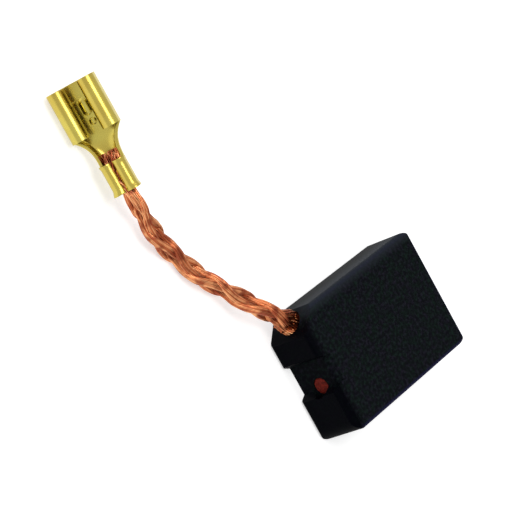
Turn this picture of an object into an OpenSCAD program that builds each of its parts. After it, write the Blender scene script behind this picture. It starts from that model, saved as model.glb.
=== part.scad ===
// Carbon brush with a cut-off pin, a plaited copper shunt wire and a push-on terminal.
// The block lies flat on its back face. The origin is the middle of that face, +X runs
// from the spring end to the contact end, +Y is the side the wire leaves from, +Z is up.

/* [Carbon block] */
// Length from the spring end to the contact end
block_l = 25; // [20:0.5:32]
// Width, along the commutator's axis
block_w = 16; // [14:0.5:20]
// Thickness, round the commutator
block_t = 6.3; // [5.2:0.1:8]
// Radius of the upright corners
corner_r = 1.6; // [0.8:0.1:2]
// Rounding of the edges of the broad faces
edge_r = 0.6; // [0.2:0.05:0.65]
// Diameter of the commutator that the contact face is ground to
commutator_d = 36; // [28:1:60]

/* [Spring groove] */
// Depth of the groove that the holder's spring finger presses into
groove_depth = 1.25; // [0.8:0.05:1.8]
// Width of the groove's floor
groove_floor = 3.6; // [3.2:0.1:4.4]
// Slope of each groove wall, measured across the block
groove_slope = 0.6; // [0.3:0.05:0.9]
// Chamfer that eases the front edge of the groove and of the lip below it
lead_in = 0.75; // [0.7:0.05:0.9]

/* [Wire corner] */
// Length of the cut corner along the block
cut_x = 3.2; // [2.8:0.1:3.8]
// Length of the cut corner across the block
cut_y = 2.8; // [2.6:0.1:3.4]
// How far the wire hole sits from the middle of the cut face, towards the wide side
hole_shift = 0.3; // [0:0.05:0.4]
// Depth of the wire hole
hole_depth = 4.5; // [3.5:0.1:5]
// Depth of the bare rim above the tamping compound
rim_depth = 0.3; // [0.1:0.05:0.6]
// Thickness of the tamping compound around the wire
compound_wall = 0.35; // [0.2:0.05:0.4]

/* [Cut-off bore] */
// Diameter of the bore for the spring and the pin
bore_d = 2.2; // [1.8:0.1:2.4]
// How far the bore sits from the middle of the block, away from the wire
bore_offset = 1.5; // [1:0.1:2.2]
// Length of the plug that closes the bore
plug_l = 1.4; // [0.8:0.1:2]
// How far the plug sits below the groove's floor
plug_recess = 0.05; // [0:0.05:0.4]
// Diameter of the pin's shank
pin_d = 1.2; // [0.9:0.1:1.4]
// Length of the pin's head
pin_head_l = 1.2; // [0.8:0.1:2]
// Length of the pin's tip cone
pin_tip_l = 0.8; // [0.4:0.1:1.2]
// Carbon between the pin's tip and the contact end when the brush is new
pin_cover = 7; // [5:0.5:8]
// How far the pin can come forward once the carbon has worn down to it
pin_travel = 3.8; // [3:0.1:4.5]
// Length of the pin without its travel, from the head's back to the tip
pin_l = 9.9; // [8.5:0.1:10.5]
// Diameter of the spring's wire
spring_wire = 0.25; // [0.15:0.05:0.35]
// Turns of the spring, with one closed turn at each end
spring_turns = 7; // [5:1:8]
// Running clearance of the pin and the spring in their bores, at each side
bore_clear = 0.1; // [0.05:0.01:0.15]
// Gap where one loose piece seats on the next
seat_gap = 0.04; // [0.02:0.01:0.1]

/* [Shunt wire] */
// Diameter of the plaited wire
wire_d = 2.4; // [2:0.1:2.4]
// Diameter of the wire where the crimp squeezes it
crimped_d = 2; // [1.6:0.1:2]
// Gap between the wire and what it passes through
wire_gap = 0.03; // [0.02:0.01:0.05]

/* [Terminal] */
// Thickness of the brass sheet
sheet = 0.35; // [0.3:0.05:0.45]
// Width of the tab that the terminal pushes onto
tab_w = 4.8; // [4:0.1:6.3]
// Thickness of that tab
tab_t = 0.8; // [0.5:0.1:0.8]
// Clearance over the tab
tab_clear = 0.05; // [0.02:0.01:0.1]
// Room beside each edge of the tab
tab_side = 0.3; // [0.1:0.05:0.4]
// Width of each rolled edge
roll_w = 2.1; // [1.7:0.1:2.1]
// Height of each rolled edge
roll_h = 2.8; // [2.6:0.1:3.2]
// Length of the rolled edges
roll_l = 6.2; // [5.4:0.1:8]
// Length of the neck between the rolled edges and the crimp
neck_l = 3.6; // [3:0.1:4.5]
// Height of the neck's walls above the round of their corners
neck_wall = 0.2; // [0.1:0.05:0.4]
// Length of the crimp
crimp_l = 3.8; // [3:0.1:4.2]
// Room that the strands spread into at each side of the crimp
crimp_slack = 0.2; // [0.12:0.01:0.25]
// How far the terminal is turned about the wire, from flat on its base
terminal_roll = 60; // [50:1:65]

/* [Locking bumps] */
// Width of the long locking bump in the terminal's floor
bump_w = 1; // [0.7:0.1:1.2]
// Length of the long locking bump
bump_l = 1.9; // [1.4:0.1:2.4]
// Height of the locking bumps
bump_h = 0.25; // [0.15:0.05:0.35]
// Length of the sloped lip in front of the long bump
lip_l = 2.1; // [1.6:0.1:2.3]
// How far the lip falls away at its front edge
lip_fall = 0.15; // [0.05:0.01:0.2]
// Width of the small bump behind the long one
dot_w = 0.7; // [0.5:0.1:0.8]
// Gap between the long bump and the small one
dot_gap = 0.5; // [0.3:0.1:0.6]

/* [Hidden] */
$fn = 48;
over = 1;                      // how far a cutting shape passes the face it cuts

// The block's own faces
end_x = -block_l / 2;          // spring end
face_x = block_l / 2;          // contact end
side_y = block_w / 2;
mid_z = block_t / 2;
floor_x = end_x + groove_depth;

// The cut corner: its face, and the hole square to it
cut_len = norm([cut_x, cut_y]);
cut_angle = atan2(cut_x, -cut_y);      // direction that the wire leaves in, seen from above
along_cut = [cut_x, cut_y] / cut_len;
hole_at = [end_x + cut_x / 2, side_y - cut_y / 2] + hole_shift * along_cut;
hole_d = wire_d + 2 * (wire_gap + compound_wall);

// The cut-off bore, measured along X from the spring end
plug_x = floor_x + plug_recess;
tip_x = face_x - pin_cover;
head_x = tip_x - pin_l;
step_x = head_x + pin_head_l + pin_travel;
spring_x = plug_x + plug_l + seat_gap;
spring_l = head_x - seat_gap - spring_x;

// The route of the wire's centre, from inside the block to its end in the terminal
route = [
    [-8.15, 3.9, 3.15], [-10.65, 6.8, 3.15], [-12, 8.3, 3.15], [-13.2, 9.7, 3.05],
    [-14.15, 11, 2.8], [-14.95, 12.3, 2.45], [-15.7, 13.5, 2.1], [-16.45, 14.7, 1.75],
    [-17.2, 15.9, 1.5], [-18, 17.2, 1.3], [-18.75, 18.5, 1.25], [-19.5, 19.9, 1.25],
    [-20.2, 21.3, 1.3], [-20.85, 22.7, 1.45], [-21.45, 24.1, 1.7], [-22, 25.5, 2.05],
    [-22.45, 26.9, 2.4], [-22.8, 28.2, 2.75], [-23, 29.4, 2.95], [-23, 30.4, 3],
    [-23, 32.4, 3], [-23, 34.2, 3], [-23, 35.6, 3]
];
crimp_at = 19;                 // the route point at the rear end of the crimp

// The terminal, seen along the wire: x is across it and z is up from its base
terminal_w = tab_w + 2 * (tab_side + sheet);
wire_z = sheet + wire_gap + crimped_d / 2;
crimp_w = crimped_d + 2 * (crimp_slack + sheet);
crimp_r = crimp_w / 2;
lobe_r = crimp_w / 4;
wing_z = wire_z + crimped_d / 2 + wire_gap;
lobe_z = wing_z + wire_gap + sheet - lobe_r;
roll_r = roll_w / 2;
slot_z = sheet + tab_t + tab_clear;
gap_w = terminal_w - 2 * roll_w;
roll_y = crimp_l + neck_l;
tip_y = roll_y + roll_l;
splice = 0.3;                  // how far the neck reaches into the crimp and the rolled length
splice_skin = 0.02;            // how deep it lies in their sheet, on each side

// ---- Shared shapes ----

// A rectangle with round corners, from [x0, y0] to [x1, y1]
module round_rect(x0, y0, x1, y1, r) {
    translate([x0 + r, y0]) square([x1 - x0 - 2 * r, y1 - y0]);
    translate([x0, y0 + r]) square([x1 - x0, y1 - y0 - 2 * r]);
    for (x = [x0 + r, x1 - r], y = [y0 + r, y1 - r])
        translate([x, y]) circle(r);
}

// A cylinder that starts at x = from and runs along +X, on the axis of the cut-off bore
module bore_rod(from, length, d) {
    translate([from, -bore_offset, mid_z]) rotate([0, 90, 0]) cylinder(h = length, d = d);
}

// A cylinder square to the cut corner, from below its face to above it
module corner_rod(below, above, d) {
    translate([hole_at.x, hole_at.y, mid_z]) rotate([0, 0, cut_angle]) rotate([0, 90, 0])
        translate([0, 0, -below]) cylinder(h = below + above, d = d);
}

function unit(v) = v / norm(v);
function mix(a, b, t) = a + (b - a) * t;

// Closed skin of a row of rings that all have the same number of points. A ring is either
// convex, or a folded strip whose first half of points runs back along its second half.
module skin(rings, folded = false) {
    sides = len(rings[0]);
    last = len(rings) - 1;
    walls = [for (i = [0 : last - 1], j = [0 : sides - 1])
        [i * sides + j, i * sides + (j + 1) % sides,
         (i + 1) * sides + (j + 1) % sides, (i + 1) * sides + j]];
    cap = folded
        ? [for (k = [0 : sides / 2 - 2]) [k, k + 1, sides - 2 - k, sides - 1 - k]]
        : [[for (j = [0 : sides - 1]) j]];
    start = [for (face = cap) [for (j = [len(face) - 1 : -1 : 0]) face[j]]];
    finish = [for (face = cap) [for (j = face) last * sides + j]];
    polyhedron([for (ring = rings) each ring], concat(start, walls, finish));
}

// ---- Carbon block ----

// Outline of the block from above, with the wire corner and the spring groove cut
module block_outline() {
    half_floor = groove_floor / 2;
    half_mouth = half_floor + groove_slope * (groove_depth + over) / groove_depth;
    difference() {
        round_rect(end_x, -side_y, face_x, side_y, corner_r);
        polygon([[end_x - over, side_y - cut_y - over * cut_y / cut_x],
                 [end_x + cut_x + over, side_y + over * cut_y / cut_x],
                 [end_x - over, side_y + over * cut_y / cut_x]]);
        polygon([[floor_x, half_floor], [end_x - over, half_mouth],
                 [end_x - over, -half_mouth], [floor_x, -half_floor]]);
    }
}

// Wedges that ease the front edge of the lower lip and of the groove's floor
module front_lead_in() {
    half_floor = groove_floor / 2;
    for (wedge = [[end_x, -side_y - over, -half_floor - groove_slope / 2],
                  [floor_x, -half_floor, half_floor]])
        translate([wedge[0], wedge[2], block_t]) rotate([90, 0, 0])
            linear_extrude(wedge[2] - wedge[1])
                polygon([[-over, -lead_in - over], [lead_in + over, over], [-over, over]]);
}

// Bore for the spring, then a narrower one for the pin's shank
module cutoff_bore() {
    bore_rod(end_x - over, step_x - end_x + over, bore_d);
    bore_rod(end_x, tip_x + seat_gap - end_x, pin_d + 2 * bore_clear);
}

module carbon_block() {
    color([0.09, 0.11, 0.13])
    difference() {
        intersection() {
            linear_extrude(block_t) block_outline();
            translate([0, side_y, 0]) rotate([90, 0, 0]) linear_extrude(block_w)
                round_rect(end_x, 0, face_x, block_t, edge_r);
            translate([end_x, 0, 0]) rotate([90, 0, 90]) linear_extrude(block_l)
                round_rect(-side_y, 0, side_y, block_t, edge_r);
        }
        contact_arc();
        front_lead_in();
        corner_rod(hole_depth, over, hole_d);
        cutoff_bore();
    }
}

// The commutator's surface, which the contact end is ground to
module contact_arc() {
    r = commutator_d / 2;
    axis_x = face_x + sqrt(r * r - mid_z * mid_z);
    translate([axis_x, side_y + over, mid_z]) rotate([90, 0, 0])
        cylinder(h = block_w + 2 * over, r = r, $fn = 96);
}

// ---- Pieces held in the block ----

module tamping_compound() {
    color([0.35, 0.22, 0.16])
    difference() {
        corner_rod(hole_depth, -rim_depth, hole_d);
        corner_rod(hole_depth - compound_wall, over, wire_d + 2 * wire_gap);
    }
}

module bore_plug() {
    rim = 0.15;                // chamfer round the plug's outer face
    color([0.45, 0.13, 0.10])
    translate([plug_x, -bore_offset, mid_z]) rotate([0, 90, 0]) rotate_extrude()
        polygon([[0, 0], [bore_d / 2 - rim, 0], [bore_d / 2, rim], [bore_d / 2, plug_l],
                 [0, plug_l]]);
}

// Distance of the spring's wire along its axis after a number of turns
function coil_rise(turn) = turn < 1 ? spring_wire * turn
    : turn > spring_turns - 1 ? spring_l - spring_wire * (spring_turns + 1 - turn)
    : mix(spring_wire, spring_l - 2 * spring_wire, (turn - 1) / (spring_turns - 2));

module cutoff_spring() {
    sides = 6;
    steps = 16;                // rings in one turn
    coil_r = bore_d / 2 - bore_clear - spring_wire / 2;
    color([0.62, 0.63, 0.65])
    translate([spring_x + spring_wire / 2, -bore_offset, mid_z]) rotate([0, 90, 0])
        skin([for (i = [0 : steps * spring_turns])
            let (turn = i / steps, out = [cos(360 * turn), sin(360 * turn), 0])
            [for (j = [0 : sides - 1])
                let (a = 360 * j / sides)
                (coil_r + spring_wire / 2 * cos(a)) * out
                    + [0, 0, coil_rise(turn) - spring_wire / 2 * sin(a)]]]);
}

module cutoff_pin() {
    head_r = bore_d / 2 - bore_clear;
    tip_r = pin_d / 4;         // flat left on the tip's cone
    color([0.75, 0.72, 0.62])
    translate([head_x, -bore_offset, mid_z]) rotate([0, 90, 0]) rotate_extrude()
        polygon([[0, 0], [head_r, 0], [head_r, pin_head_l], [pin_d / 2, pin_head_l],
                 [pin_d / 2, pin_l - pin_tip_l], [tip_r, pin_l], [0, pin_l]]);
}

// ---- Shunt wire ----

// Radius of the wire at a route point: the crimp squeezes its last stretch
function wire_r(i) = (i < crimp_at ? wire_d : crimped_d) / 2;

module shunt_wire() {
    sides = 8;
    last = len(route) - 1;
    color([0.72, 0.38, 0.22])
    skin([for (i = [0 : last])
        let (run = unit(route[min(i + 1, last)] - route[max(i - 1, 0)]),
             side = unit(cross(run, [0, 0, 1])), up = cross(side, run))
        [for (j = [0 : sides - 1])
            let (a = 360 * j / sides)
            route[i] + wire_r(i) * (cos(a) * side + sin(a) * up)]]);
}

// ---- Terminal: one folded sheet ----

// One rolled edge, at the right: up from the base, over and down to the tab slot
module rolled_edge() {
    x0 = terminal_w / 2 - roll_w;
    difference() {
        roll_outline(0);
        roll_outline(sheet);
        translate([x0 - over, -over]) square([over + roll_r, over + slot_z]);
    }
    square([x0 + roll_r, sheet]);
}

// Outline of the right roll, or of the room inside it
module roll_outline(wall) {
    x = terminal_w / 2 - roll_r;
    translate([x - roll_r + wall, roll_r]) square([roll_w - 2 * wall, roll_h - roll_w]);
    for (z = [roll_r, roll_h - roll_r])
        translate([x, z]) circle(roll_r - wall);
}

// The rolled length, with its sloped front lip and locking bumps
module receptacle() {
    bump_y = tip_y - lip_l - bump_l / 2;
    difference() {
        union() {
            along_y(roll_y, roll_l) {
                rolled_edge();
                mirror([1, 0]) rolled_edge();
            }
            locking_bump(bump_y, bump_w, bump_l, sheet);
            locking_bump(bump_y - bump_l / 2 - dot_gap - dot_w / 2, dot_w, dot_w, sheet);
        }
        locking_bump(bump_y, bump_w, bump_l, 0);
        translate([-gap_w / 2, 0, 0]) rotate([90, 0, 90]) linear_extrude(gap_w)
            polygon([[tip_y - lip_l, sheet], [tip_y + over, sheet - lip_fall * (1 + over / lip_l)],
                     [tip_y + over, sheet + over], [tip_y - lip_l, sheet + over]]);
    }
}

// A round-ended swelling that rises bump_h above the level z, pressed up out of the sheet
module locking_bump(y, w, l, z) {
    r = (w * w / 4 + bump_h * bump_h) / (2 * bump_h);
    intersection() {
        translate([-w, y - l, z - sheet / 2]) cube([2 * w, 2 * l, sheet / 2 + bump_h]);
        union() {
            for (end = l > w ? [-1, 1] : [0])
                translate([0, y + end * (l - w) / 2, z + bump_h - r]) sphere(r);
            if (l > w)
                translate([0, y - (l - w) / 2, z + bump_h - r]) rotate([-90, 0, 0])
                    cylinder(h = l - w, r = r);
        }
    }
}

// Stands a profile drawn in x and z up along the wire's direction
module along_y(from, length) {
    translate([0, from + length, 0]) rotate([90, 0, 0]) linear_extrude(length) children();
}

// Points of an arc about [x, z], in steps that both of the spliced sections share
function arc(x, z, r, from, to) =
    let (steps = ceil(abs(to - from) / 15))
    [for (i = [0 : steps]) [x, z] + r * [cos(mix(from, to, i / steps)), sin(mix(from, to, i / steps))]];

// Section of the neck: an open channel that lies within the sheet it is spliced to
function channel(y, half_w, r, wall_h) =
    let (c = half_w - r, a_out = half_w - splice_skin, a_in = half_w - sheet + splice_skin,
         r_out = r - splice_skin, r_in = r - sheet + splice_skin)
    [for (p = concat([[-a_out, wall_h]], arc(-c, r, r_out, 180, 270), arc(c, r, r_out, 270, 360),
                     [[a_out, wall_h], [a_in, wall_h]],
                     arc(c, r, r_in, 360, 270), arc(-c, r, r_in, 270, 180), [[-a_in, wall_h]]))
        [p.x, y, p.y]];

module neck() {
    steps = 9;
    flare = 2.8;               // how late the neck widens towards the rolled edges
    skin([for (i = [-1 : steps + 1])
        let (t = min(max(i / steps, 0), 1), wide = pow(t, flare),
             y = i < 0 ? crimp_l - splice : i > steps ? roll_y + splice : mix(crimp_l, roll_y, t))
        channel(y, mix(crimp_r, terminal_w / 2, wide), mix(crimp_r - splice_skin, roll_r, t),
                mix(crimp_r, roll_r, t) + neck_wall)], folded = true);
}

// Outline of the crimp, or of the room inside it: a round bottom under two round lobes
module crimp_outline(wall) {
    r = crimp_r - wall;
    translate([0, crimp_r]) circle(r);
    translate([-r, crimp_r]) square([2 * r, lobe_z - crimp_r]);
    for (side = [-1, 1])
        translate([side * lobe_r, lobe_z]) circle(lobe_r - wall);
}

// The crimp's two wings meet in a seam, and their ends press on the wire
module crimp() {
    along_y(0, crimp_l)
        difference() {
            crimp_outline(0);
            crimp_outline(sheet);
            translate([-lobe_r, crimp_r]) square([2 * lobe_r, wing_z - crimp_r]);
        }
}

module terminal() {
    color([0.80, 0.68, 0.22])
    translate(route[crimp_at]) rotate([0, -terminal_roll, 0]) translate([0, 0, -wire_z]) {
        crimp();
        neck();
        receptacle();
    }
}

carbon_block();
tamping_compound();
bore_plug();
cutoff_spring();
cutoff_pin();
shunt_wire();
terminal();
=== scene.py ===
"""Looks of a carbon brush with a plaited copper lead and a push-on terminal."""

import math
import random

import bmesh
import bpy
from mathutils import Matrix, Vector


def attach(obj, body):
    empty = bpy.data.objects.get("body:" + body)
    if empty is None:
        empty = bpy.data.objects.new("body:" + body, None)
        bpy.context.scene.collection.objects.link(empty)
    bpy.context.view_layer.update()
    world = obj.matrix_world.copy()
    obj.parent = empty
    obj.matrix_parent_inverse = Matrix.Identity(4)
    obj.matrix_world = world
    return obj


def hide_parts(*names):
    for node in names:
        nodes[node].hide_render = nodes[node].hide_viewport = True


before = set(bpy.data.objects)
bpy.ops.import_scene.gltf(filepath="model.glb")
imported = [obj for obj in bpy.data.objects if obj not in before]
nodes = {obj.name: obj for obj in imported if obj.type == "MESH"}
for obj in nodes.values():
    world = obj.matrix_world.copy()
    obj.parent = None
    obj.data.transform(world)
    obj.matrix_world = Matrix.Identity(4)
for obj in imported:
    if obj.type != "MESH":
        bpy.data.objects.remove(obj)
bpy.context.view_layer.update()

MM = 0.001
BODY = "root"

# The block, in mm, as in the part's source
BLOCK_L, BLOCK_W, BLOCK_T = 25.0, 16.0, 6.3

# Centre line of the lead in mm, from inside the block to its end in the terminal
ROUTE = [
    (-8.15, 3.9, 3.15), (-10.65, 6.8, 3.15), (-12, 8.3, 3.15), (-13.2, 9.7, 3.05),
    (-14.15, 11, 2.8), (-14.95, 12.3, 2.45), (-15.7, 13.5, 2.1), (-16.45, 14.7, 1.75),
    (-17.2, 15.9, 1.5), (-18, 17.2, 1.3), (-18.75, 18.5, 1.25), (-19.5, 19.9, 1.25),
    (-20.2, 21.3, 1.3), (-20.85, 22.7, 1.45), (-21.45, 24.1, 1.7), (-22, 25.5, 2.05),
    (-22.45, 26.9, 2.4), (-22.8, 28.2, 2.75), (-23, 29.4, 2.95), (-23, 30.4, 3),
    (-23, 32.4, 3), (-23, 34.2, 3), (-23, 35.6, 3),
]
EXIT_AT = 1                    # the route point where the lead leaves the block


# ---- Camera, floor and light ----

CAMERA_AT = (-0.196377, 0.046491, 0.182846)
CAMERA_LOOK = (0.71439, -0.11791, -0.68974)
CAMERA_UP = (0.41009, 0.86923, 0.27616)
CAMERA_LENS, CAMERA_SENSOR = 155.545, 36.0
FLOOR_HALF = 1.5
FLOOR_AT = -0.02 * MM          # just under what the brush lies on
PAPER, PAPER_GLOW = 0.75, 0.55             # its own grey, and what the backdrop's white adds
ROOM_LIGHT = 0.85
LIT_MIDDLE = (-0.008, 0.018, 0.003)        # where both lamps point


def make_camera():
    data = bpy.data.cameras.new("camera")
    data.sensor_width = CAMERA_SENSOR
    data.lens = CAMERA_LENS
    data.clip_start, data.clip_end = 0.01, 10.0
    camera = bpy.data.objects.new("camera", data)
    bpy.context.collection.objects.link(camera)
    look = Vector(CAMERA_LOOK).normalized()
    right = look.cross(Vector(CAMERA_UP)).normalized()
    turn = Matrix((right, right.cross(look), -look)).transposed().to_4x4()
    camera.matrix_world = Matrix.Translation(CAMERA_AT) @ turn
    bpy.context.scene.camera = camera


def backdrop_rays(w):
    """1 for the camera, glossy and transmission rays, which see a white backdrop, or else 0."""
    rays = w.put("LightPath").outputs
    either = w.calc("MAXIMUM", rays["Is Camera Ray"], rays["Is Glossy Ray"])
    return w.calc("MAXIMUM", either, rays["Is Transmission Ray"])


def make_floor():
    """White paper that keeps the brush's shadow."""
    flat = bmesh.new()
    bmesh.ops.create_grid(flat, x_segments=1, y_segments=1, size=FLOOR_HALF)
    floor = mesh_object("floor", flat)
    floor.location.z = FLOOR_AT
    material = bpy.data.materials.new("paper_floor")
    material.use_nodes = True
    material.node_tree.nodes.clear()
    w = Wiring(material.node_tree)
    paper = w.put("BsdfDiffuse", {"Color": (PAPER, PAPER, PAPER, 1)}).outputs[0]
    glow = w.put("Emission", {"Strength": PAPER_GLOW}).outputs[0]
    white = w.put("AddShader", {0: paper, 1: glow}).outputs[0]
    shown = w.put("MixShader", {0: backdrop_rays(w), 1: paper, 2: white}).outputs[0]
    w.put("OutputMaterial", {"Surface": shown})
    floor.data.materials.append(material)


def make_world():
    """White to the camera and in reflections; its light is a pale ceiling and dimmer walls."""
    world = bpy.data.worlds.new("studio")
    bpy.context.scene.world = world
    world.use_nodes = True
    world.node_tree.nodes.clear()
    w = Wiring(world.node_tree)
    up = w.put("SeparateXYZ", {0: w.put("TexCoord").outputs["Generated"]}).outputs["Z"]
    ceiling = w.ramp(up, (0.05, 0.22), (0.55, 0.45), (0.95, 0.95))
    room = w.put("Background", {"Color": ceiling, "Strength": ROOM_LIGHT}).outputs[0]
    white = w.put("Background", {"Strength": 1.0}).outputs[0]
    shown = w.put("MixShader", {0: backdrop_rays(w), 1: room, 2: white}).outputs[0]
    w.put("OutputWorld", {"Surface": shown})


def softbox(name, at, size, power):
    data = bpy.data.lights.new(name, "AREA")
    data.shape = "SQUARE"
    data.size = size
    data.energy = power
    lamp = bpy.data.objects.new(name, data)
    bpy.context.collection.objects.link(lamp)
    lamp.location = at
    lamp.rotation_mode = "QUATERNION"
    lamp.rotation_quaternion = (Vector(LIT_MIDDLE) - Vector(at)).to_track_quat("-Z", "Y")


# ---- Mesh helpers ----

def mesh_object(name, made):
    """Turns a bmesh into a linked object of that name."""
    mesh = bpy.data.meshes.new(name)
    made.to_mesh(mesh)
    made.free()
    obj = bpy.data.objects.new(name, mesh)
    bpy.context.collection.objects.link(obj)
    return obj


def ease(low, high, x):
    """0 up to low, 1 from high on, and a soft rise between them."""
    t = min(max((x - low) / (high - low), 0), 1)
    return t * t * (3 - 2 * t)


def smooth_line(points, per_span):
    """Points of a Catmull-Rom curve through the given ones."""
    p = [Vector(q) for q in points]
    p = [2 * p[0] - p[1]] + p + [2 * p[-1] - p[-2]]
    line = []
    for i in range(1, len(p) - 2):
        a, b, c, d = p[i - 1:i + 3]
        for k in range(per_span):
            t = k / per_span
            line.append(0.5 * (2 * b + (c - a) * t + (2 * a - 5 * b + 4 * c - d) * t * t
                               + (3 * b - a - 3 * c + d) * t ** 3))
    line.append(p[-2])
    return line


def even_line(line, step):
    """The same line with points a fixed step apart, and the distance along it of each."""
    out, along, left = [line[0].copy()], [0.0], step
    for a, b in zip(line, line[1:]):
        span, done = (b - a).length, 0.0
        while span - done >= left:
            done += left
            out.append(a.lerp(b, done / span))
            along.append(along[-1] + step)
            left = step
        left -= span - done
    return out, along


def running_frames(line):
    """Side and up directions that turn as little as they can along a line."""
    frames = []
    up = Vector((0, 0, 1))
    for i in range(len(line)):
        run = (line[min(i + 1, len(line) - 1)] - line[max(i - 1, 0)]).normalized()
        side = run.cross(up).normalized()
        up = side.cross(run).normalized()
        frames.append((side, up))
    return frames


# ---- Plaited lead: four bundles of strands, two turning each way. All sizes in mm ----

LEAD_R = 1.2
LEAD_STEP = 0.32               # between the points of a strand
SHOWN_INSIDE = 1.2             # how far the strands start inside the block
PLAIT_PITCH = 14.4             # one full turn of a bundle round the lead
PLAIT_START = 0.25             # a bundle's angle where the lead leaves the block
BUNDLE_PITCH = 13.0            # one full turn of a strand in its bundle
BUNDLE_R = 0.66                # middle of a bundle, from the lead's centre line
BUNDLE_WIDE, BUNDLE_HIGH = 0.53, 0.46
WEAVE = 0.20                   # how far a bundle rises and dips as it passes over and under
FLATTENED = 0.10               # how much wider and lower a bundle is where it crosses another
STRAND_R = 0.074
STRAND_RINGS = ((19, 1.0), (6, 0.45))      # strands in a ring of a bundle, and its share
WANDER = 0.015                 # how far a strand strays from its place
CRIMP_REAR, CRIMP_FRONT = 23.8, 27.6       # distances along the lead
LOOSENED, LOOSE_L = 0.26, 2.4              # the lead's swell at the block, and its reach
SQUEEZED, SQUEEZE_L = 0.16, 2.6            # the same where the crimp takes it in
FRAYED, FRAY_L = 0.16, 1.4                 # the same past the crimp
BROKEN_ENDS = 16               # broken strands that stand out at the block
DARK_DEPTH = 0.42              # share of the lead's radius at which its painted dark shade starts


def lead_swell(s):
    """How much the lead swells at a distance from the point where it leaves the block."""
    loosened = LOOSENED * math.exp(-(max(s, 0) / LOOSE_L) ** 2)
    squeezed = SQUEEZED * ease(CRIMP_REAR - SQUEEZE_L, CRIMP_REAR, s)
    frayed = FRAYED * ease(CRIMP_FRONT, CRIMP_FRONT + FRAY_L, s)
    return 1 + loosened - squeezed + frayed


def lead_centre():
    """Centre line, frames, and the distance of each point from where the lead leaves the block."""
    start = (Vector(ROUTE[EXIT_AT]) - Vector(ROUTE[0])).length
    line, along = even_line(smooth_line(ROUTE, 16), LEAD_STEP)
    frames = running_frames(line)
    skip = next(i for i, s in enumerate(along) if s > start - SHOWN_INSIDE)
    return line[skip:], frames[skip:], [s - start for s in along[skip:]]


def add_strand(curve, points):
    """One more strand of the lead, through points in mm."""
    spline = curve.splines.new("POLY")
    spline.points.add(len(points) - 1)
    for knot, p in zip(spline.points, points):
        knot.co = (*(p * MM), 1)


def bundle_strand(centre, turn, carrier, place, wobble, shake):
    """Points of one strand in a bundle that turns about the lead as it weaves.

    place is the strand's angle in its bundle and its ring's share of the bundle's size;
    shake is how far its end stands off where the lead frays.
    """
    beta, share = place
    points = []
    for p, (side, up), s in zip(*centre):
        swell = lead_swell(s)
        phase = math.tau * s / PLAIT_PITCH + PLAIT_START
        over = math.cos(2 * phase)
        angle = turn * phase + math.pi * carrier
        out = math.cos(angle) * side + math.sin(angle) * up
        across = turn * (math.cos(angle) * up - math.sin(angle) * side)
        lay = beta + math.tau * s / BUNDLE_PITCH
        wide = BUNDLE_WIDE + FLATTENED * over * over - STRAND_R
        high = BUNDLE_HIGH - FLATTENED * over * over - STRAND_R
        loose = 1 + (swell - 1) * 0.9 * math.sin(s * 2.1 + wobble[0])
        free = shake * ease(CRIMP_FRONT - 0.2, CRIMP_FRONT + 1.2, s)
        r = BUNDLE_R + turn * WEAVE * over + share * high * math.sin(lay) * loose
        r += WANDER * math.sin(s * 1.7 + wobble[1]) + free * math.sin(wobble[0])
        t = share * wide * math.cos(lay) * loose + free * math.cos(wobble[1])
        t += WANDER * math.sin(s * 1.3 + wobble[2])
        points.append(p + swell * (r * out + t * across))
    return points


def plait_bundles(curve, rng, centre):
    """Adds the bundles' strands, and gives for each its places on the centre line and a tone."""
    strands = []
    whole = len(centre[0])
    for turn in (1, -1):
        for carrier in (0, 1):
            for count, share in STRAND_RINGS:
                for n in range(count):
                    wobble = [rng.uniform(0, math.tau) for _ in range(3)]
                    end = whole - rng.randrange(0, 4)
                    strand = bundle_strand(centre, turn, carrier, (math.tau * n / count, share),
                                           wobble, rng.uniform(0.0, 0.16))
                    add_strand(curve, strand[:end])
                    strands.append((range(end), rng.random()))
    return strands


def broken_ends(curve, rng, centre):
    """Adds short broken strands that stand out where the lead is tamped into the block."""
    line, frames, along = centre
    first = next(i for i, s in enumerate(along) if s > -0.4)
    side, up = frames[first]
    strands = []
    for _ in range(BROKEN_ENDS):
        angle, reach = rng.uniform(0, math.tau), rng.randrange(5, 9)
        lean, bow = rng.uniform(-0.3, 0.3), rng.uniform(0.15, 0.5)
        points = []
        for k in range(reach):
            t = k / (reach - 1)
            a = angle + lean * t
            r = 1.18 + 0.18 * t + bow * t * t * 0.5
            at = line[first].lerp(line[first + reach // 2 + 1], t)
            points.append(at + r * (math.cos(a) * side + math.sin(a) * up))
        add_strand(curve, points)
        strands.append((range(first, first + reach), 0.7 + 0.3 * rng.random()))
    return strands


def mark_strands(mesh, strands, centre):
    """Stores how deep each point lies in the plait, which sets its painted shade, and its strand's
    tone.
    """
    line, _, along = centre
    sides = len(mesh.vertices) // sum(len(places) for places, _ in strands)
    depth = mesh.attributes.new("depth", "FLOAT", "POINT")
    tone = mesh.attributes.new("strand_tone", "FLOAT", "POINT")
    v = 0
    for places, shade in strands:
        for i in places:
            full = LEAD_R * lead_swell(along[i])
            for _ in range(sides):
                r = (mesh.vertices[v].co / MM - line[i]).length / full
                depth.data[v].value = min(max((1 - r) / DARK_DEPTH, 0), 1)
                tone.data[v].value = shade
                v += 1


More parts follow.
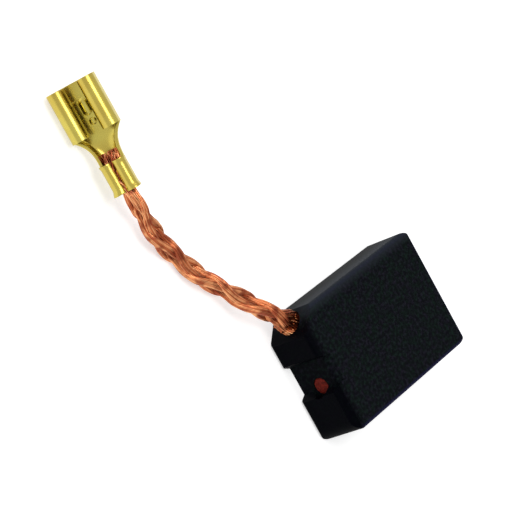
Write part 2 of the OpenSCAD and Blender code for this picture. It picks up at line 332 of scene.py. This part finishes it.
def make_lead(centre):
    rng = random.Random(7)
    curve = bpy.data.curves.new("lead_lines", "CURVE")
    curve.dimensions = "3D"
    curve.bevel_depth = STRAND_R * MM
    curve.bevel_resolution = 1
    curve.use_fill_caps = True
    strands = plait_bundles(curve, rng, centre) + broken_ends(curve, rng, centre)

    lines = bpy.data.objects.new("lead_lines", curve)
    bpy.context.collection.objects.link(lines)
    mesh = bpy.data.meshes.new_from_object(
        lines.evaluated_get(bpy.context.evaluated_depsgraph_get()))
    bpy.data.objects.remove(lines)
    mesh.name = "plaited_lead"
    mesh.polygons.foreach_set("use_smooth", [True] * len(mesh.polygons))
    mark_strands(mesh, strands, centre)
    lead = bpy.data.objects.new("plaited_lead", mesh)
    bpy.context.collection.objects.link(lead)
    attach(lead, BODY)
    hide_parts("shunt_wire")
    return lead


# ---- Terminal: one stamped and folded sheet, drawn as the sheet's outer face, in mm ----

SHEET = 0.35
SHEARED = 0.05                 # rounding of the sheet's cut edges
CRIMP_L, NECK_L, ROLL_L = 3.8, 3.6, 6.2
CRIMP_R, LOBE_R, LOBE_Z, WING_Z = 1.55, 0.775, 2.015, 2.41
HALF_W, ROLL_R, ROLL_H = 3.05, 1.05, 2.8
HOOK = (1.55, 1.35, 1.2)       # heights of the roll's inner edge, down to the tab's slot
NECK_WALL = 0.2
NECK_FLARE = 2.8               # how late the neck widens towards the rolled edges
WIRE_Z = 1.38                  # middle of the lead, over the terminal's floor
TERMINAL_AT, TERMINAL_ROLL = (-23.0, 30.4, 3.0), -60.0
FLOOR_STEPS, BEND_STEPS = 17, 7            # columns of the floor's half and of its bend
LOBE_STEPS, ROLL_STEPS = 18, 22            # columns of a wing's lobe and of a roll
CRIMP_ROWS, NECK_ROWS, ROLL_ROWS = 22, 26, 62
BUMP_W, BUMP_L, BUMP_H = 1.0, 1.9, 0.25    # the long locking bump
DOT_W, DOT_H = 0.7, 0.20                   # the round one behind it
BUMP_GAP = 0.5
LIP_L, LIP_STEP, LIP_EASE = 2.1, 0.09, 0.12            # the thinner lip at the tip
REAR_FLARE, REAR_L = 0.09, 0.7             # the crimp's bell mouths: at the lead, and in front
FRONT_FLARE, FRONT_L = 0.05, 0.5
FLARE_FROM = 0.4
WELD = 0.004


def arc(x, z, r, start, end, steps):
    """Points of an arc from one angle to another, in degrees."""
    angles = [math.radians(start + (end - start) * i / steps) for i in range(steps + 1)]
    return [(x + r * math.cos(a), z + r * math.sin(a)) for a in angles]


def crimp_half():
    """Right half of the crimp's section: the channel's share first, then a wing."""
    low = arc(0, CRIMP_R, CRIMP_R, 270, 360, FLOOR_STEPS + BEND_STEPS)
    low += [(CRIMP_R, CRIMP_R + NECK_WALL)]
    stop = 180 - math.degrees(math.asin((WING_Z - LOBE_Z) / LOBE_R))
    wing = [(CRIMP_R, LOBE_Z)] + arc(LOBE_R, LOBE_Z, LOBE_R, 0, stop, LOBE_STEPS)[1:]
    return low, wing


def roll_half():
    """Right half of the rolled section: the channel's share first, then the roll."""
    x = HALF_W - ROLL_R
    low = [(x * i / FLOOR_STEPS, 0.0) for i in range(FLOOR_STEPS)]
    low += arc(x, ROLL_R, ROLL_R, 270, 360, BEND_STEPS) + [(HALF_W, ROLL_R + NECK_WALL)]
    roll = [(HALF_W, ROLL_H - ROLL_R)]
    roll += arc(x, ROLL_H - ROLL_R, ROLL_R, 0, 180, ROLL_STEPS)[1:]
    roll += [(x - ROLL_R, z) for z in HOOK]
    return low, roll


def both_sides(half):
    return [(-x, z) for x, z in reversed(half[1:])] + half


def bent_sheet(made, columns, rows, place):
    """Adds a flat blank to a bmesh and bends it: place gives a point for each column and row."""
    blank = bmesh.ops.create_grid(made, x_segments=columns - 1, y_segments=rows, size=0.5)
    for v in blank["verts"]:
        column = round((v.co.x + 0.5) * (columns - 1))
        row = round((v.co.y + 0.5) * rows)
        v.co = Vector(place(column, row))


def bump_height(x, y):
    """Height of the locking bumps, pressed up out of the floor."""
    long_y = CRIMP_L + NECK_L + ROLL_L - LIP_L - BUMP_L / 2
    dot_y = long_y - BUMP_L / 2 - BUMP_GAP - DOT_W / 2
    reach = (BUMP_L - BUMP_W) / 2
    from_long = math.hypot(x, y - min(max(y, long_y - reach), long_y + reach)) / (BUMP_W / 2)
    from_dot = math.hypot(x, y - dot_y) / (DOT_W / 2)
    return max(BUMP_H * (1 - ease(0.15, 1.05, from_long)), DOT_H * (1 - ease(0.1, 1.1, from_dot)))


def fold_sheet(made):
    """Crimp, neck and rolled length as three bent blanks, welded where their edges meet."""
    crimp_low, wing = crimp_half()
    roll_low, roll = roll_half()
    crimp_side, roll_side = both_sides(crimp_low + wing), both_sides(roll_low + roll)
    tip = CRIMP_L + NECK_L + ROLL_L
    reach = len(crimp_low) - 1             # columns of the channel on each side of the middle

    def crimp_place(column, row):
        y = CRIMP_L * row / CRIMP_ROWS
        x, z = crimp_side[column]
        flare = REAR_FLARE * (1 - ease(0, REAR_L, y))
        flare += FRONT_FLARE * ease(CRIMP_L - FRONT_L, CRIMP_L, y)
        welded = row == CRIMP_ROWS and abs(column - (len(crimp_side) - 1) / 2) <= reach
        swell = 0 if welded else flare * max(z, FLARE_FROM) / CRIMP_R
        return x * (1 + swell), y, WIRE_Z + (z - WIRE_Z) * (1 + swell / 2)

    def neck_place(column, row):
        t = row / NECK_ROWS
        wide = t ** NECK_FLARE
        high = (ease(0, 1, t) + t) / 2
        (xc, zc), (xr, zr) = crimp_low[abs(column - reach)], roll_low[abs(column - reach)]
        x = (xc + (xr - xc) * wide) * (1 if column >= reach else -1)
        return x, CRIMP_L + NECK_L * t, zc + (zr - zc) * high

    def roll_place(column, row):
        y = CRIMP_L + NECK_L + ROLL_L * row / ROLL_ROWS
        x, z = roll_side[column]
        floor = 1 - ease(ROLL_R * 0.1, ROLL_R * 0.6, z)
        if abs(x) < HALF_W - ROLL_R and z < HOOK[-1]:
            z += bump_height(x, y)
        z -= floor * LIP_STEP * ease(tip - LIP_L - LIP_EASE, tip - LIP_L + LIP_EASE, y)
        return x, y, z

    bent_sheet(made, len(crimp_side), CRIMP_ROWS, crimp_place)
    bent_sheet(made, 2 * len(crimp_low) - 1, NECK_ROWS, neck_place)
    bent_sheet(made, len(roll_side), ROLL_ROWS, roll_place)
    bmesh.ops.remove_doubles(made, verts=made.verts, dist=WELD)
    bmesh.ops.reverse_faces(made, faces=made.faces)


def make_terminal():
    made = bmesh.new()
    fold_sheet(made)
    turn = (Matrix.Scale(MM, 4) @ Matrix.Translation(TERMINAL_AT)
            @ Matrix.Rotation(math.radians(TERMINAL_ROLL), 4, "Y")
            @ Matrix.Translation((0, 0, -WIRE_Z)))
    bmesh.ops.transform(made, matrix=turn, verts=made.verts)
    for face in made.faces:
        face.smooth = True
    terminal = mesh_object("folded_terminal", made)
    wall = terminal.modifiers.new("sheet", "SOLIDIFY")
    wall.thickness = SHEET * MM
    wall.offset = -1
    wall.use_even_offset = True
    edges = terminal.modifiers.new("sheared_edges", "BEVEL")
    edges.width = SHEARED * MM
    edges.segments = 2
    edges.limit_method = "ANGLE"
    edges.angle_limit = math.radians(50)
    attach(terminal, BODY)
    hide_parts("terminal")
    return terminal


# ---- Materials ----

def shader_group(name, inputs, outputs):
    """A shader node group with the named float or vector inputs and float outputs."""
    group = bpy.data.node_groups.new(name, "ShaderNodeTree")
    for label, value in inputs:
        kind = "NodeSocketVector" if isinstance(value, tuple) else "NodeSocketFloat"
        socket = group.interface.new_socket(label, in_out="INPUT", socket_type=kind)
        socket.default_value = value
    for label in outputs:
        group.interface.new_socket(label, in_out="OUTPUT", socket_type="NodeSocketFloat")
    into, out = group.nodes.new("NodeGroupInput"), group.nodes.new("NodeGroupOutput")
    return group, into.outputs, out.inputs


class Wiring:
    """Short ways to add and join the nodes of one tree."""

    def __init__(self, tree):
        self.tree = tree

    def put(self, kind, values=(), **settings):
        node = self.tree.nodes.new("ShaderNode" + kind)
        for key, value in settings.items():
            setattr(node, key, value)
        for key, value in dict(values).items():
            self.feed(node.inputs[key], value)
        return node

    def feed(self, socket, value):
        if isinstance(value, bpy.types.NodeSocket):
            self.tree.links.new(value, socket)
        else:
            socket.default_value = value

    def calc(self, kind, a, b=0.0, clamp=False):
        return self.put("Math", {0: a, 1: b}, operation=kind, use_clamp=clamp).outputs[0]

    def vector(self, kind, a, b=(0, 0, 0)):
        return self.put("VectorMath", {0: a, 1: b}, operation=kind).outputs[0]

    def ramp(self, value, *stops):
        """A colour ramp over value, with stops of position and grey or colour."""
        node = self.put("ValToRGB", {"Fac": value})
        ramp = node.color_ramp
        while len(ramp.elements) < len(stops):
            ramp.elements.new(0.5)
        for element, (position, colour) in zip(ramp.elements, stops):
            element.position = position
            grey = isinstance(colour, (int, float))
            element.color = (colour, colour, colour, 1) if grey else (*colour, 1)
        return node.outputs["Color"]

    def blend(self, factor, a, b):
        node = self.put("Mix", {0: factor}, data_type="RGBA")
        self.feed(node.inputs[6], (*a, 1) if isinstance(a, tuple) else a)
        self.feed(node.inputs[7], (*b, 1) if isinstance(b, tuple) else b)
        return node.outputs[2]

    def group(self, group, **values):
        node = self.put("Group")
        node.node_tree = group
        for key, value in values.items():
            self.feed(node.inputs[key], value)
        return node.outputs


def new_material(name):
    material = bpy.data.materials.new(name)
    material.use_nodes = True
    tree = material.node_tree
    shader = next(n for n in tree.nodes if n.type == "BSDF_PRINCIPLED")
    return material, Wiring(tree), shader


def roughen(w, shader, grain, low, spread):
    """Roughness from low upwards with the grain."""
    w.feed(shader.inputs["Roughness"],
           w.calc("ADD", low, w.calc("MULTIPLY", grain["Speckle"], spread)))


def emboss(w, shader, grain, strength, depth):
    """Bumps of the grain, depth in mm."""
    bump = w.put("Bump", {"Strength": strength, "Distance": depth * MM,
                          "Height": grain["Height"]})
    w.feed(shader.inputs["Normal"], bump.outputs[0])


def make_grain():
    """Pressed-powder grain, Size in mm: a fine speckle, a slow cloud and a height for bumps."""
    group, into, out = shader_group(
        "pressed_grain", [("Vector", (0, 0, 0)), ("Size", 0.2)], ["Speckle", "Cloud", "Height"])
    w = Wiring(group)
    scale = w.calc("DIVIDE", 1 / MM, into["Size"])
    fine = w.put("TexNoise", {"Vector": into["Vector"], "Scale": scale, "Detail": 3.0,
                              "Roughness": 0.65})
    slow = w.put("TexNoise", {"Vector": into["Vector"], "Detail": 2.0,
                              "Scale": w.calc("MULTIPLY", scale, 0.11)})
    pits = w.put("TexVoronoi", {"Vector": into["Vector"],
                                "Scale": w.calc("MULTIPLY", scale, 0.6)})
    pit_walls = w.calc("MULTIPLY", w.calc("MINIMUM", pits.outputs["Distance"], 0.35), 1.2)
    w.feed(out["Speckle"], fine.outputs["Fac"])
    w.feed(out["Cloud"], slow.outputs["Fac"])
    w.feed(out["Height"], w.calc("ADD", fine.outputs["Fac"], pit_walls))
    return group


def make_edge_wear():
    """Mask of a box's edges, broken up by grain: places near two of its faces at once."""
    group, into, out = shader_group(
        "edge_wear", [("Vector", (0, 0, 0)), ("Centre", (0, 0, 0)), ("Half", (1, 1, 1)),
                      ("Reach", 0.001), ("Grain", 0.5)], ["Mask"])
    w = Wiring(group)
    away = w.vector("ABSOLUTE", w.vector("SUBTRACT", into["Vector"], into["Centre"]))
    x, y, z = w.put("SeparateXYZ", {0: w.vector("SUBTRACT", into["Half"], away)}).outputs[:3]
    pairs = [w.calc("MAXIMUM", a, b) for a, b in ((x, y), (y, z), (x, z))]
    nearest = w.calc("MINIMUM", w.calc("MINIMUM", pairs[0], pairs[1]), pairs[2])
    near = w.calc("SUBTRACT", 1.0, w.calc("DIVIDE", nearest, into["Reach"]), clamp=True)
    rough = w.calc("ADD", into["Grain"], 0.5)
    w.feed(out["Mask"], w.calc("MULTIPLY", near, rough, clamp=True))
    return group


END_SHADE_FROM, END_SHADE_TO = 0.055, 0.095          # shares of the block's length where the spring end's painted shade fades out
# Painted shade of the spring end: near black, with a trace of blue
END_SHADE = (0.0, 0.0, 0.0012)
END_SHADE_RAGGED = 0.05             # how far the grain moves the painted shade's border, as such a share
RIM_FROM = 0.82                # share of the block's half width where the painted sheen starts
WEAR_REACH = 0.6
CARBON_SHINE = 0.020


def graphite_mottle(w, grain, at):
    """Dark ground and lighter flecks, each between a violet and a green."""
    fine = w.group(grain, Vector=at, Size=0.42)
    coarse = w.group(grain, Vector=at, Size=0.75)
    tint = w.ramp(coarse["Speckle"], (0.40, 0.0), (0.60, 1.0))
    ground = w.blend(tint, (0.0026, 0.0028, 0.0050), (0.0026, 0.0044, 0.0044))
    flecks = w.blend(tint, (0.0126, 0.0116, 0.0196), (0.0066, 0.0156, 0.0121))
    return fine, w.blend(w.ramp(fine["Speckle"], (0.44, 0.0), (0.66, 1.0)), ground, flecks)


def carbon_material(grain):
    """Pressed graphite, near black and mottled: violet rims, painted shade on the spring end, and
    one paler band of painted sheen on the lead's side."""
    material, w, shader = new_material("carbon_graphite")
    at = w.put("TexCoord").outputs["Object"]
    x, y, z = w.put("SeparateXYZ", {0: at}).outputs[:3]
    fine, face = graphite_mottle(w, grain, at)
    height = w.calc("DIVIDE", z, BLOCK_T * MM)

    # Painted sheen: the upper part of the lead's side is made paler and bluer, as where it catches
    # the light
    rim = w.ramp(w.calc("DIVIDE", y, BLOCK_W / 2 * MM), (RIM_FROM, 0.0), (1.0, 1.0))
    painted_sheen = w.calc("MULTIPLY", rim, w.ramp(height, (0.4, 0.0), (0.8, 1.0)))
    face = w.blend(w.calc("MULTIPLY", painted_sheen, 0.75), face, (0.026, 0.031, 0.040))

    # The box for the wear reaches past the spring end, which has no violet rim
    past = BLOCK_L / 4
    wear = w.group(make_edge_wear(), Vector=at, Grain=fine["Speckle"], Reach=WEAR_REACH * MM,
                   Centre=(-past * MM, 0, BLOCK_T / 2 * MM),
                   Half=((BLOCK_L / 2 + past) * MM, BLOCK_W / 2 * MM, BLOCK_T / 2 * MM))
    violet = w.calc("MULTIPLY", wear["Mask"], w.calc("SUBTRACT", 1.0, painted_sheen))
    face = w.blend(violet, face, (0.015, 0.012, 0.066))

    # Painted shade: the spring end and a strip of the faces beside it are darkened nearly to black
    along = w.calc("ADD", w.calc("DIVIDE", x, BLOCK_L * MM), 0.5)
    ragged = w.calc("ADD", along, w.calc("MULTIPLY", fine["Speckle"], END_SHADE_RAGGED))
    unshaded = w.ramp(ragged, (END_SHADE_FROM, 0.12), (END_SHADE_TO, 1.0))
    w.feed(shader.inputs["Base Color"], w.blend(unshaded, END_SHADE, face))
    shader.inputs["Specular IOR Level"].default_value = CARBON_SHINE
    roughen(w, shader, fine, 0.45, 0.2)
    emboss(w, shader, fine, 0.4, 0.02)
    return material


def powder_material(name, grain, size, dark, bright, rough, shine=0.5):
    """Compound, plug and other pressed or moulded pieces: two tones of one grain."""
    material, w, shader = new_material(name)
    at = w.put("TexCoord").outputs["Object"]
    g = w.group(grain, Vector=at, Size=size)
    mask = w.ramp(g["Speckle"], (0.35, 0.0), (0.65, 1.0))
    w.feed(shader.inputs["Base Color"], w.blend(mask, dark, bright))
    shader.inputs["Roughness"].default_value = rough
    shader.inputs["Specular IOR Level"].default_value = shine
    emboss(w, shader, g, 0.5, 0.03)
    return material


def copper_material(grain):
    """Bare copper: bright worn strands, redder patches, and painted dark red shade between the
    bundles.
    """
    material, w, shader = new_material("bare_copper_strands")
    at = w.put("TexCoord").outputs["Object"]
    g = w.group(grain, Vector=at, Size=0.16)
    depth = w.put("Attribute", attribute_name="depth").outputs["Fac"]
    tone = w.put("Attribute", attribute_name="strand_tone").outputs["Fac"]
    bright = w.blend(w.ramp(tone, (0.30, 0.0), (0.85, 1.0)), (0.60, 0.17, 0.065),
                     (0.92, 0.44, 0.20))
    patch = w.ramp(g["Cloud"], (0.44, 0.0), (0.62, 1.0))
    worn = w.blend(w.calc("MULTIPLY", patch, 0.8), bright, (0.30, 0.050, 0.024))
    # Painted shade: strands deeper in the plait, where the bundles shade each other, are darkened
    # to dark red
    core_shade = w.ramp(depth, (0.12, 0.0), (0.62, 1.0))
    w.feed(shader.inputs["Base Color"], w.blend(core_shade, worn, (0.07, 0.006, 0.005)))
    shader.inputs["Metallic"].default_value = 1.0
    roughen(w, shader, g, 0.20, 0.2)
    return material


def brass_material(grain):
    """Stamped brass, slightly uneven in tone."""
    material, w, shader = new_material("stamped_brass")
    at = w.put("TexCoord").outputs["Object"]
    g = w.group(grain, Vector=at, Size=0.6)
    tint = w.ramp(g["Cloud"], (0.35, 0.0), (0.7, 1.0))
    w.feed(shader.inputs["Base Color"],
           w.blend(tint, (0.62, 0.53, 0.115), (0.54, 0.40, 0.075)))
    shader.inputs["Metallic"].default_value = 1.0
    roughen(w, shader, g, 0.20, 0.14)
    emboss(w, shader, g, 0.15, 0.01)
    return material


def steel_material(grain):
    """Spring wire."""
    material, w, shader = new_material("spring_steel")
    at = w.put("TexCoord").outputs["Object"]
    g = w.group(grain, Vector=at, Size=0.25)
    w.feed(shader.inputs["Base Color"],
           w.blend(g["Cloud"], (0.48, 0.48, 0.49), (0.66, 0.66, 0.67)))
    shader.inputs["Metallic"].default_value = 1.0
    roughen(w, shader, g, 0.25, 0.2)
    return material


def paint(mesh, material):
    mesh.materials.clear()
    mesh.materials.append(material)


# ---- The scene ----

make_camera()
centre = lead_centre()
lead = make_lead(centre)
terminal = make_terminal()
make_floor()
make_world()
softbox("overhead_light", (-0.09, 0.065, 0.34), size=0.15, power=0.36)
softbox("window_light", (0.05, 0.36, 0.26), size=0.22, power=0.45)

grain = make_grain()
powder = powder_material("tamped_powder", grain, 0.12, dark=(0.035, 0.018, 0.014),
                         bright=(0.20, 0.08, 0.05), rough=0.6)
plug_resin = powder_material("plug_resin", grain, 0.35, dark=(0.075, 0.006, 0.004),
                             bright=(0.26, 0.024, 0.014), rough=0.6, shine=0.08)
pin_plastic = powder_material("moulded_pin", grain, 0.3, dark=(0.50, 0.45, 0.33),
                              bright=(0.60, 0.56, 0.44), rough=0.45)
paint(lead.data, copper_material(grain))
paint(terminal.data, brass_material(grain))
paint(nodes["carbon_block"].data, carbon_material(grain))
paint(nodes["tamping_compound"].data, powder)
paint(nodes["bore_plug"].data, plug_resin)
paint(nodes["cutoff_pin"].data, pin_plastic)
paint(nodes["cutoff_spring"].data, steel_material(grain))

bpy.context.scene.view_settings.view_transform = "Standard"
